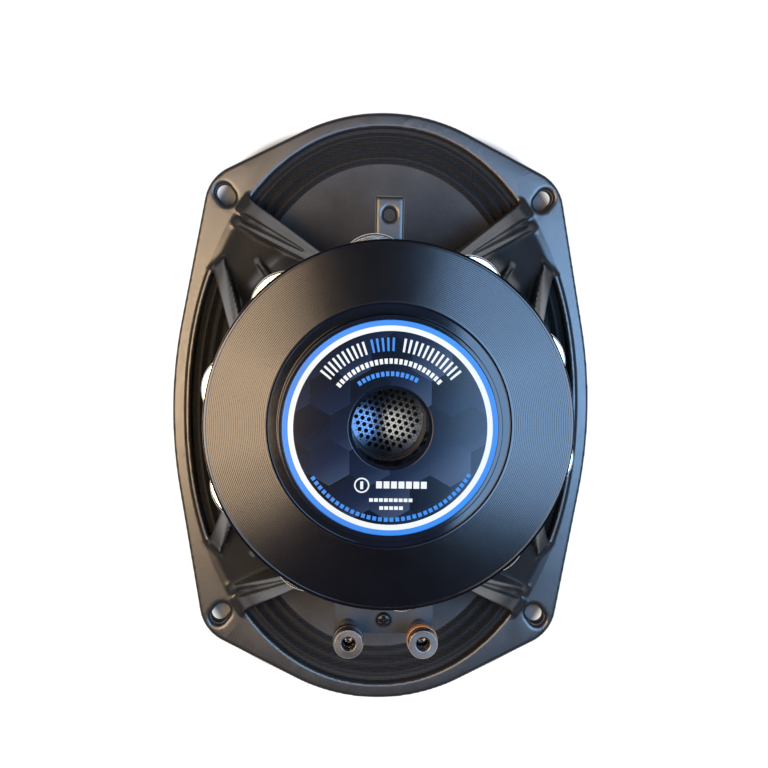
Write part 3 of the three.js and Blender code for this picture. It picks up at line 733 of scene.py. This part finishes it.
screen = hex_holes("vent_grille", VENT_RADIUS - 0.1, 2.42, 0.86, SCREEN_BACK - 0.8, 0.6, 2.6, -3.0)
place(screen, "frame", "screen", screen_metal, "vent_screen")

# ---- rear label
RINGS = (33.05, 34.9)
PRINT_UNDER, PRINT_OVER = 0.01, 0.03


def label_field_material():
    """Hexagonal tiles in navy and steel tones on metallised film, each painted lighter on one side as shade
    of a tilted facet.
    """
    n = Nodes("label_tiles")
    size = 13.8 * MM
    root3 = math.sqrt(3)
    turned = n.add("ShaderNodeMapping")
    turned.inputs["Rotation"].default_value = (0, 0, math.pi / 2)
    n.link(n.coords, turned.inputs["Vector"])
    p = n.vector("MULTIPLY", turned.outputs[0], (1 / size, 1 / size, 0))
    scaled = n.vector("DIVIDE", p, (root3, 1.0, 1.0))
    # hexagon centres lie on two shifted rectangular grids, and each point takes the nearer one
    cell_a = n.vector("ADD", n.vector("FLOOR", scaled), (0.5, 0.5, 0))
    cell_b = n.vector("FLOOR", n.vector("ADD", scaled, (0.5, 0.5, 0)))
    centre_a = n.vector("MULTIPLY", cell_a, (root3, 1.0, 0))
    centre_b = n.vector("MULTIPLY", cell_b, (root3, 1.0, 0))
    near_a = n.math("LESS_THAN", n.vector("DISTANCE", p, centre_a), n.vector("DISTANCE", p, centre_b))
    chosen = n.add("ShaderNodeMix", data_type="VECTOR")
    n.link(near_a, chosen.inputs[0])
    n.link(centre_b, chosen.inputs[4])
    n.link(centre_a, chosen.inputs[5])
    white = n.add("ShaderNodeTexWhiteNoise", noise_dimensions="2D")
    n.link(chosen.outputs[1], white.inputs["Vector"])
    away = n.vector("SUBTRACT", p, chosen.outputs[1])
    # every tile is painted lighter towards the same side, as painted shading of a tilted facet
    painted_tilt_shade = n.vector("DOT_PRODUCT", away, (0.5, 0.3, 0))
    fleck = n.noise(2600, 2)
    tone = n.math("ADD", n.math("MULTIPLY", white.outputs["Value"], 0.8), painted_tilt_shade)
    tone = n.math("ADD", tone, n.math("MULTIPLY", n.math("SUBTRACT", fleck, 0.5), 0.35))
    colour = n.ramp(tone, [(0.1, (0.001, 0.004, 0.012)), (0.55, (0.005, 0.013, 0.036)),
                           (0.95, (0.030, 0.050, 0.095))])
    return n.finish(colour, n.spread(fleck, 0.12, 0.18), n.bump(fleck, 0.05, 0.02), Specular_IOR_Level=0.3)


INK_FINISH = dict(roughness=(0.3, 0.42), grain_mm=0.3, bump=0.04)
label_white = coated("label_white", (0.58, 0.62, 0.58), (0.66, 0.70, 0.66), **INK_FINISH)
label_blue = coated("label_blue", (0.001, 0.15, 0.52), (0.002, 0.19, 0.62), **INK_FINISH)
label_tiles = label_field_material()

label_top = BOSS_TOP - 0.04
label_profile = [(LABEL[0], label_top - 0.36), (LABEL[0], label_top - 0.05), (LABEL[0] + 0.15, label_top),
                 (LABEL[0] + 0.3, label_top), (20.0, label_top), (27.0, label_top), (RINGS[0], label_top),
                 (RINGS[1], label_top), (LABEL[1] - 0.3, label_top), (LABEL[1] - 0.15, label_top),
                 (LABEL[1], label_top - 0.05), (LABEL[1], label_top - 0.36)]
label = swept("rear_badge", label_profile, segments=240)
for material in (label_tiles, label_white, label_blue):
    label.data.materials.append(material)
for polygon in label.data.polygons:
    r = math.hypot(polygon.center.x, polygon.center.y) / MM
    polygon.material_index = 0 if r < RINGS[0] else 1 if r < RINGS[1] else 2
place(label, "frame", "label", label_tiles, "rear_label")


def printed_arc(name, inner, outer, start, end, gap, share, material):
    """A row of plain printed dashes along an arc of the badge."""
    verts, faces = [], []
    count = max(1, round((end - start) / gap))
    for k in range(count):
        a0 = math.radians(start + (end - start) * (k + 0.5 - share / 2) / count)
        a1 = math.radians(start + (end - start) * (k + 0.5 + share / 2) / count)
        base = len(verts)
        for s in range(5):
            a = a0 + (a1 - a0) * s / 4
            for r in (inner, outer):
                for z in (label_top - PRINT_UNDER, label_top + PRINT_OVER):
                    verts.append((r * math.cos(a), r * math.sin(a), z))
        for s in range(4):
            b = base + s * 4
            faces += [(b + 1, b + 3, b + 7, b + 5), (b, b + 4, b + 6, b + 2), (b, b + 1, b + 5, b + 4),
                      (b + 2, b + 6, b + 7, b + 3)]
        faces += [(base, base + 2, base + 3, base + 1), (base + 16, base + 17, base + 19, base + 18)]
    place(mesh_object(name, verts, faces), "frame", "label", material)


def printed_row(name, left, right, low, high, count, material):
    """A straight row of plain printed dashes."""
    z0, z1 = label_top - PRINT_UNDER, label_top + PRINT_OVER
    step = (right - left) / count
    gap = 0.22 * step if count > 1 else 0
    verts, faces = [], []
    for k in range(count):
        b = len(verts)
        x0, x1 = left + k * step, left + (k + 1) * step - gap
        verts += [(x, y, z) for z in (z0, z1) for x, y in ((x0, low), (x1, low), (x1, high), (x0, high))]
        sides = [(3, 2, 1, 0), (4, 5, 6, 7), (0, 1, 5, 4), (1, 2, 6, 5), (2, 3, 7, 6), (3, 0, 4, 7)]
        faces += [tuple(b + i for i in side) for side in sides]
    place(mesh_object(name, verts, faces), "frame", "label", material)


printed_arc("badge_ticks_left", 26.2, 30.8, 107, 143, 3.6, 0.42, label_white)
printed_arc("badge_ticks_top", 26.2, 30.8, 87, 105, 3.6, 0.42, label_blue)
printed_arc("badge_ticks_right", 26.2, 30.8, 38, 83, 3.6, 0.42, label_white)
printed_arc("badge_dashes_mid", 21.9, 23.7, 42, 143, 4.2, 0.66, label_white)
printed_arc("badge_dashes_low", 17.7, 19.3, 60, 128, 5.2, 0.66, label_blue)
printed_arc("badge_dashes_foot", 30.6, 32.0, 212, 331, 3.6, 0.66, label_blue)
printed_row("badge_row_wide", -4.6, 13.2, -20.6, -18.2, 7, label_white)
printed_row("badge_row_small", -6.9, 8.2, -25.2, -24.0, 9, label_white)
printed_row("badge_row_short", -3.4, 5.0, -27.9, -26.7, 5, label_white)
emblem = swept("badge_emblem", [
    (2.1, label_top - PRINT_UNDER), (2.6, label_top - PRINT_UNDER), (2.6, label_top + PRINT_OVER),
    (2.1, label_top + PRINT_OVER)], centre=(-9.5, -19.6), segments=48)
place(emblem, "frame", "label", label_white)
printed_row("badge_emblem_bar", -10.0, -9.0, -20.9, -18.3, 1, label_white)

# ---- cone and suspension
cone_back = [(0.012, 42), (0.014, 38.5), (0.03, 36.7), (0.12, 32.0), (0.25, 26.4), (0.4, 20.8), (0.55, 15.6),
             (0.7, 11.2), (0.84, 7.8), (0.92, 6.3), (0.97, 5.8), (1.0, 5.8)]
cone_front = [(1.0, 5.0), (0.97, 5.0), (0.92, 5.4), (0.83, 7.0), (0.69, 10.3), (0.54, 14.6), (0.39, 19.8),
              (0.24, 25.5), (0.11, 31.2), (0.02, 35.4), (0.0, 36.4), (0.0, 42)]


def smooth_profile(points, steps):
    """Catmull-Rom through the points."""
    p = np.array(points, float)
    padded = np.concatenate([[2 * p[0] - p[1]], p, [2 * p[-1] - p[-2]]])
    out = []
    for i in range(len(p) - 1):
        a, b, c, d = padded[i : i + 4]
        for k in range(steps):
            t = k / steps
            out.append(0.5 * ((2 * b) + (c - a) * t + (2 * a - 5 * b + 4 * c - d) * t**2
                              + (3 * b - a - 3 * c + d) * t**3))
    out.append(p[-1])
    return [tuple(q) for q in out]


cone_profile = smooth_profile(cone_back, 2) + smooth_profile(cone_front, 2)
cone = swept("paper_cone", cone_profile, cone_radius, segments=256)
place(cone, "cone_assembly", "paper_pulp", paper, "cone")

CAP_RADIUS, CAP_EDGE, CAP_RISE, CAP_THICK, CAP_STEPS = 29.0, 31.2, 11, 0.8, 14
dome = [(CAP_RADIUS * k / CAP_STEPS, CAP_EDGE - CAP_RISE * (1 - (k / CAP_STEPS) ** 2))
        for k in range(CAP_STEPS + 1)]
dome_back = [(r, z + CAP_THICK) for r, z in reversed(dome)]
dome_rim = [(CAP_RADIUS + 0.3, CAP_EDGE + 0.4)]
cap = swept("dust_cap_dome", dome + dome_rim + dome_back, segments=128, closed=False)
place(cap, "cone_assembly", "cap_cloth", cap_cloth, "dust_cap")

FORMER = (25.4, 25.8)
FORMER_ENDS, COIL_FRONT = (36.5, 68), 54
COIL_TURNS, COIL_PITCH, COIL_OUTER = 28, 0.482, 27.0
former = swept("coil_bobbin", rounded([
    (FORMER[0], FORMER_ENDS[0]), (FORMER[1], FORMER_ENDS[0]), (FORMER[1], FORMER_ENDS[1]),
    (FORMER[0], FORMER_ENDS[1])], 0.1))
place(former, "cone_assembly", "former", kapton, "coil_former")
turns = []
for k in range(COIL_TURNS):
    z = COIL_FRONT + 0.25 + k * COIL_PITCH
    turns += [(COIL_OUTER - 0.25, z - 0.2), (COIL_OUTER, z), (COIL_OUTER - 0.25, z + 0.2)]
coil_profile = [(FORMER[1], COIL_FRONT)] + turns + [(FORMER[1], FORMER_ENDS[1])]
winding = swept("coil_winding", coil_profile, segments=128)
place(winding, "cone_assembly", "copper", copper, "voice_coil")


def roll(points, thick, steps):
    """A rolled sheet from its middle line, as a closed profile."""
    line = smooth_profile(points, steps)
    return line + [(r, z + thick) for r, z in reversed(line)]


def ring_blend(obj, radius_at=None):
    """Bakes the piece's placement into its mesh and reads its points, but bends nothing."""
    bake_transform(obj)
    count = len(obj.data.vertices)
    co = np.empty(count * 3)
    obj.data.vertices.foreach_get("co", co)
    co = co.reshape(-1, 3) / MM
    base = radius_at(np.arctan2(co[:, 1], co[:, 0]), 0) if radius_at else 0


# the surround's middle line, by distance outside the cone's edge
ROLLS = [(-3, 4.2), (-1.2, 4.2), (0.5, 4.2), (2.6, 6.2), (4.6, 2.3), (6.7, 6.3), (8.7, 2.3), (10.7, 6.2),
         (12.4, 4.3), (13.5, 4.2), (16.4, 4.2)]
surround = swept("cloth_surround", roll(ROLLS, 0.75, 6), oval_radius, segments=256)
surround.data.materials.append(surround_cloth)
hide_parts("surround")
ring_blend(surround, oval_radius)

SPIDER_AT, WAVE_START, WAVE_STEP, WAVE_RISE = 43.2, 30.2, 3.1, 1.3
waves = [(26.2, SPIDER_AT), (28.0, SPIDER_AT)]
for k in range(8):
    waves.append((WAVE_START + k * WAVE_STEP, SPIDER_AT + (WAVE_RISE if k % 2 == 0 else -WAVE_RISE)))
waves += [(54.6, SPIDER_AT), (59.5, SPIDER_AT)]
spider = swept("cloth_spider", roll(waves, 0.7, 5), segments=192)
spider.data.materials.append(spider_cloth)
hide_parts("spider")
ring_blend(spider)

# ---- terminals
CROSS_HALF, CROSS_REACH, CROSS_DEPTH = 0.36, 1.45, 1.1
SHANK_RADIUS, SHANK_LENGTH = 1.8, 9.4


def cross_cut(px, py):
    """How deep the cross is cut here, as a share of its full depth, with soft edges."""
    arm, across = max(abs(px), abs(py)), min(abs(px), abs(py))
    return 1 / (1 + math.exp((across - CROSS_HALF) * 14)) / (1 + math.exp((arm - CROSS_REACH) * 9))


def phillips(name, x, y, z, radius, height):
    """A pan head screw with a cross cut in its crown, over a plain shank."""
    rings, sides = 14, 48
    circle = [(math.cos(2 * math.pi * k / sides), math.sin(2 * math.pi * k / sides)) for k in range(sides)]
    verts = [(x, y, z + height - CROSS_DEPTH * cross_cut(0, 0))]
    for i in range(1, rings + 1):
        share = i / rings
        top = height * math.sqrt(1 - 0.72 * share**4)
        for cx, cy in circle:
            px, py = radius * share * cx, radius * share * cy
            verts.append((x + px, y + py, z + top - CROSS_DEPTH * cross_cut(px, py)))
    for r, level in ((radius, z), (SHANK_RADIUS, z), (SHANK_RADIUS, z - SHANK_LENGTH)):
        verts += [(x + r * cx, y + r * cy, level) for cx, cy in circle]
    faces = [(0, 1 + k, 1 + (k + 1) % sides) for k in range(sides)]
    for i in range(rings + 2):
        a, b = 1 + i * sides, 1 + (i + 1) * sides
        faces += [(a + k, b + k, b + (k + 1) % sides, a + (k + 1) % sides) for k in range(sides)]
    faces.append(tuple(range(len(verts) - sides, len(verts)))[::-1])
    return mesh_object(name, verts, faces, 40)


screw = phillips("board_screw", 0, -73.4, BOARD_BACK, 2.8, 2.1)
place(screw, "frame", "screw_black", screw_black, "terminal_screw")


def helix(name, x, y, z0, z1, radius, wire, turns):
    """A coil spring between two heights."""
    points = []
    count = turns * 20
    for k in range(count + 1):
        a = 2 * math.pi * turns * k / count
        z = z0 + wire + (z1 - z0 - 2 * wire) * k / count
        points.append((x + radius * math.cos(a), y + radius * math.sin(a), z))
    return tube_along(name, points, wire, 8)


WASHER = (3.3, 3.9)
SPRING = (59.4, 65.5)


def eared(theta, u):
    """The washer's edge, which stands out in two ears along X."""
    return u + 1.6 * max(u - WASHER[0], 0.0) * np.cos(theta) ** 8


# the socket in each cap has three rounds of thread
socket_thread = []
for ridge in (78.9, 77.6, 76.3):
    socket_thread += [(2.2, ridge + 0.3), (2.0, ridge), (2.2, ridge - 0.3)]

for side, sign, ring_material in (("left", -1, black_plastic), ("right", 1, amber_plastic)):
    x, y = POST[0] * sign, POST[1]
    at = dict(centre=(x, y), segments=64)
    stem = swept(f"post_{side}", rounded(
        [(0, 47), (1.5, 47), (1.9, 47.5), (1.9, 72.2), (1.2, 73), (0, 73)], 0.3, closed=False),
        closed=False, **at)
    place(stem, "frame", "chrome", chrome, f"terminal_stem_{side}")
    body = swept(f"post_body_{side}", rounded(
        [(2.1, BOARD_BACK), (3.6, BOARD_BACK), (3.6, 60.6), (3.3, 61.0), (3.3, 61.5), (3.9, 62.2),
         (3.9, 69.0), (3.3, 69.0), (3.3, 59.4), (2.1, 59.4)], 0.3), **at)
    place(body, "frame", "black_plastic", black_plastic, f"terminal_body_{side}")
    washer = swept(f"post_washer_{side}", rounded(
        [(WASHER[0], 69), (WASHER[1], 69), (WASHER[1], 69.7), (WASHER[0], 69.7)], 0.25), eared, **at)
    place(washer, "frame", "chrome", chrome, f"terminal_washer_{side}")
    spring = helix(f"push_spring_{side}", x, y, SPRING[0], SPRING[1], 2.62, 0.3, 5)
    place(spring, "frame", "zinc_steel", zinc, f"terminal_spring_{side}")
    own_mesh(spring)
    push = swept(f"push_cap_{side}", rounded(
        [(2.2, 65.5), (3.0, 65.5), (3.0, 76), (5.0, 76), (5.2, 76.4), (5.2, 79.9), (4.8, 80.5), (2.6, 80.5),
         (2.2, 80.1)] + socket_thread, 0.12), **at)
    place(push, f"push_cap_{side}", "chrome", brushed_cap, f"terminal_cap_{side}")
    ring = swept(f"push_ring_{side}", rounded([(3.2, 73), (5.5, 73), (5.5, 76), (3.2, 76)], 0.35), **at)
    place(ring, f"push_cap_{side}", "amber_plastic" if sign > 0 else "black_plastic", ring_material,
          f"terminal_ring_{side}")

# each lead runs from its solder lug, under the basket's seat, to the back of the cone
LEAD_ROUTE = [(13, -68.4, 50.6), (13, -68.6, 46), (12.6, -66.2, 41), (11.8, -60, 38),
              (10.9, -53.6, 35.6), (10.2, -48.8, 31.8), (10, -46.6, 26.6)]
for side, sign in (("left", -1), ("right", 1)):
    path = smooth_profile(np.array(LEAD_ROUTE) * (sign, 1, 1), 14)
    lead = tube_along(f"tinsel_braid_{side}", path, 0.72, 20, twist=2.6, lobes=5, lobe_depth=0.1)
    lead.data.materials.append(braid)
    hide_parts(f"tinsel_lead_{side}")
    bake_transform(lead)

# ---- CAD nodes that keep their shape
KEPT = {"front_gasket": foam, "terminal_board": phenolic}
KEPT.update({f"motor_screw_{i}": zinc for i in range(1, 5)})
for side in ("left", "right"):
    KEPT.update({f"terminal_nut_{side}": zinc, f"solder_lug_{side}": zinc})
for node, material in KEPT.items():
    for material_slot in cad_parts[node].material_slots:
        material_slot.material = material

# ---- floor, light and camera
def area_light(name, place_mm, aim_mm, size_mm, power, colour):
    """A soft rectangular panel of light, turned towards its aim."""
    data = bpy.data.lights.new(name, "AREA")
    data.shape = "RECTANGLE"
    data.size, data.size_y = size_mm[0] * MM, size_mm[1] * MM
    data.energy = power
    data.color = colour
    lamp = bpy.data.objects.new(name, data)
    lamp.location = Vector(place_mm) * MM
    lamp.rotation_mode = "QUATERNION"
    lamp.rotation_quaternion = (Vector(aim_mm) - Vector(place_mm)).to_track_quat("-Z", "Y")
    bpy.context.scene.collection.objects.link(lamp)


floor_nodes = Nodes("pale_floor")
floor_tone = floor_nodes.ramp(floor_nodes.noise(3, 3), mixed((0.24, 0.24, 0.24), (0.26, 0.26, 0.26)))
floor_material = floor_nodes.finish(floor_tone, 0.8, floor_nodes.bump(floor_nodes.noise(400, 2), 0.05, 0.1))
# a white sweep that glows a little everywhere but under the part, where the glow is left out as painted
# shade, an oval in metres
distance = floor_nodes.vector("ABSOLUTE", floor_nodes.coords)
across = floor_nodes.vector("DIVIDE", distance, (0.082, 0.116, 1.0))
corner = floor_nodes.vector("POWER", across, (3.2, 3.2, 1.0))
reach = floor_nodes.vector("DOT_PRODUCT", corner, (1.0, 1.0, 0.0))
glow = floor_nodes.add("ShaderNodeMapRange", interpolation_type="SMOOTHSTEP")
glow.inputs["From Min"].default_value = 0.8
glow.inputs["From Max"].default_value = 0.92
glow.inputs["To Max"].default_value = 0.9
floor_nodes.link(reach, glow.inputs["Value"])
floor_nodes.link(glow.outputs["Result"], floor_nodes.shader.inputs["Emission Strength"])
floor_nodes.shader.inputs["Emission Color"].default_value = (1, 1, 1, 1)
FLOOR_HALF = 3000
floor = mesh_object("floor", [
    (-FLOOR_HALF, -FLOOR_HALF, 0), (FLOOR_HALF, -FLOOR_HALF, 0), (FLOOR_HALF, FLOOR_HALF, 0),
    (-FLOOR_HALF, FLOOR_HALF, 0)], [(0, 1, 2, 3)])
floor.data.materials.append(floor_material)

world = bpy.data.worlds.new("studio")
world.use_nodes = True
world.node_tree.nodes["Background"].inputs["Color"].default_value = (0.9, 0.93, 1.0, 1)
world.node_tree.nodes["Background"].inputs["Strength"].default_value = 0.05
bpy.context.scene.world = world

PANEL_SIZE, PANEL_AIM, PANEL_POWER = (300, 430), (0, 0, 40), 3.9
area_light("warm_left", (-262, 0, 560), PANEL_AIM, PANEL_SIZE, PANEL_POWER, (1.0, 0.72, 0.46))
area_light("blue_right", (268, 0, 560), PANEL_AIM, PANEL_SIZE, PANEL_POWER, (0.34, 0.60, 1.0))
bpy.context.scene.view_settings.view_transform = "Standard"

CAMERA_PLACE = Vector((-21.0, 49.0, 562.0))
CAMERA_AIM = Vector((6.5, 32.5, 10.0))
CAMERA_ROLL = math.radians(0.95)
camera_data = bpy.data.cameras.new("camera")
camera_data.sensor_width = 36.0
camera_data.lens = 65.36
camera_data.shift_x = -0.0204
camera_data.shift_y = -0.0761
camera_data.clip_start, camera_data.clip_end = 0.01, 10.0
camera = bpy.data.objects.new("camera", camera_data)
bpy.context.scene.collection.objects.link(camera)
forward = (CAMERA_AIM - CAMERA_PLACE).normalized()
up = Vector((-math.sin(CAMERA_ROLL), math.cos(CAMERA_ROLL), 0))
right = forward.cross(up).normalized()
up = right.cross(forward)
turned = Matrix((right, up, -forward)).transposed().to_4x4()
camera.matrix_world = Matrix.Translation(CAMERA_PLACE * MM) @ turned
bpy.context.scene.camera = camera
